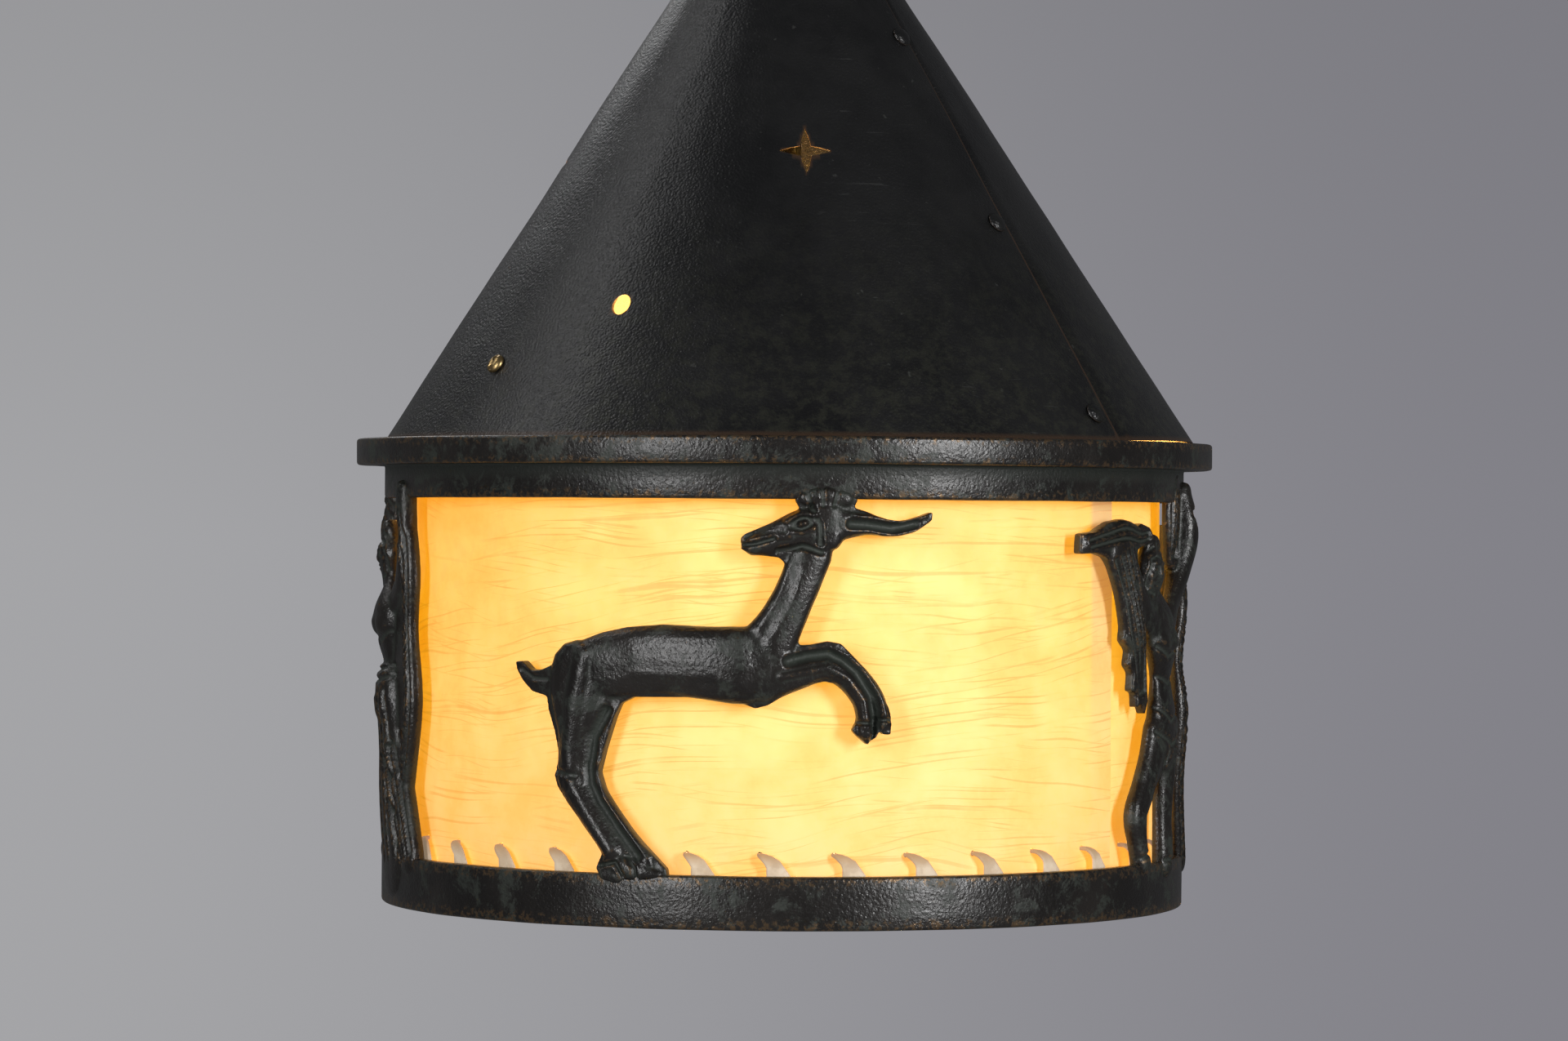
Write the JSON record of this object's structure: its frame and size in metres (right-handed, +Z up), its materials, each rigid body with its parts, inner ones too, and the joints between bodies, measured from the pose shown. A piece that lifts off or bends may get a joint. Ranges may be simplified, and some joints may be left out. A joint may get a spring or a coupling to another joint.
{
  "type": "hanging lantern",
  "caption": "Round hanging lantern: conical sheet roof, two cast rings joined by relief animal and dancer figures, laced hide shade, lampholder and screw-in bulb.",
  "frame": {"origin": "centre of the bottom ring's underside", "axes": "+Z up along the lantern's axis, -Y towards the viewer of the leaping gazelle, +X to that viewer's right"},
  "size_m": [0.2884, 0.2884, 0.4211],
  "materials": {
    "bronze": "dark patinated casting with a pebbled skin and worn edges",
    "roof_sheet": "dark patinated sheet, hammered",
    "bare_brass": "aged brass",
    "steel": "dull plated",
    "hide": "translucent veined rawhide",
    "lace": "pale flat lace",
    "porcelain": "glazed",
    "bulb_glass": "clear"
  },
  "bodies": {
    "lantern": {"bottom_ring": "bronze", "top_ring": "bronze", "gazelle_front": "bronze", "gazelle_back": "bronze", "dancer_right": "bronze", "dancer_left": "bronze", "roof_cap": "bronze", "top_loop": "bronze", "roof_cone": "roof_sheet", "seam_rivet_1": "roof_sheet", "seam_rivet_2": "roof_sheet", "seam_rivet_3": "roof_sheet", "roof_screw_left": "bare_brass", "roof_screw_right": "bare_brass", "roof_nut_left": "bare_brass", "roof_nut_right": "bare_brass", "stem_tube": "bare_brass", "lampholder_cap": "bare_brass", "lampholder_shell": "bare_brass", "lampholder_contact": "bare_brass", "lampholder_screw_shell": "bare_brass", "shade_wire_bottom": "steel", "shade_wire_top": "steel", "roof_bracket_left": "steel", "roof_bracket_right": "steel", "clamp_washer": "steel", "clamp_nut": "steel", "shade_skin": "hide", "shade_lacing_bottom": "lace", "shade_lacing_top": "lace", "lampholder_insulator": "porcelain"},
    "hanger": {"hanging_ring": "bronze"},
    "bulb": {"bulb_glass": "bulb_glass", "bulb_cap": "bare_brass", "bulb_contact": "bare_brass", "bulb_filament": "steel"}
  },
  "joints": [
    {"name": "hanging_ring_swing", "type": "hinge", "parent": "lantern", "child": "hanger", "pos_m": [0, 0, 0.3746], "axis": [0, 1, 0], "range_deg": [-90, 90]},
    {"name": "bulb_unscrew", "type": "slide", "parent": "lantern", "child": "bulb", "axis": [0, 0, -1], "range_m": [0, 0.035]}
  ]
}
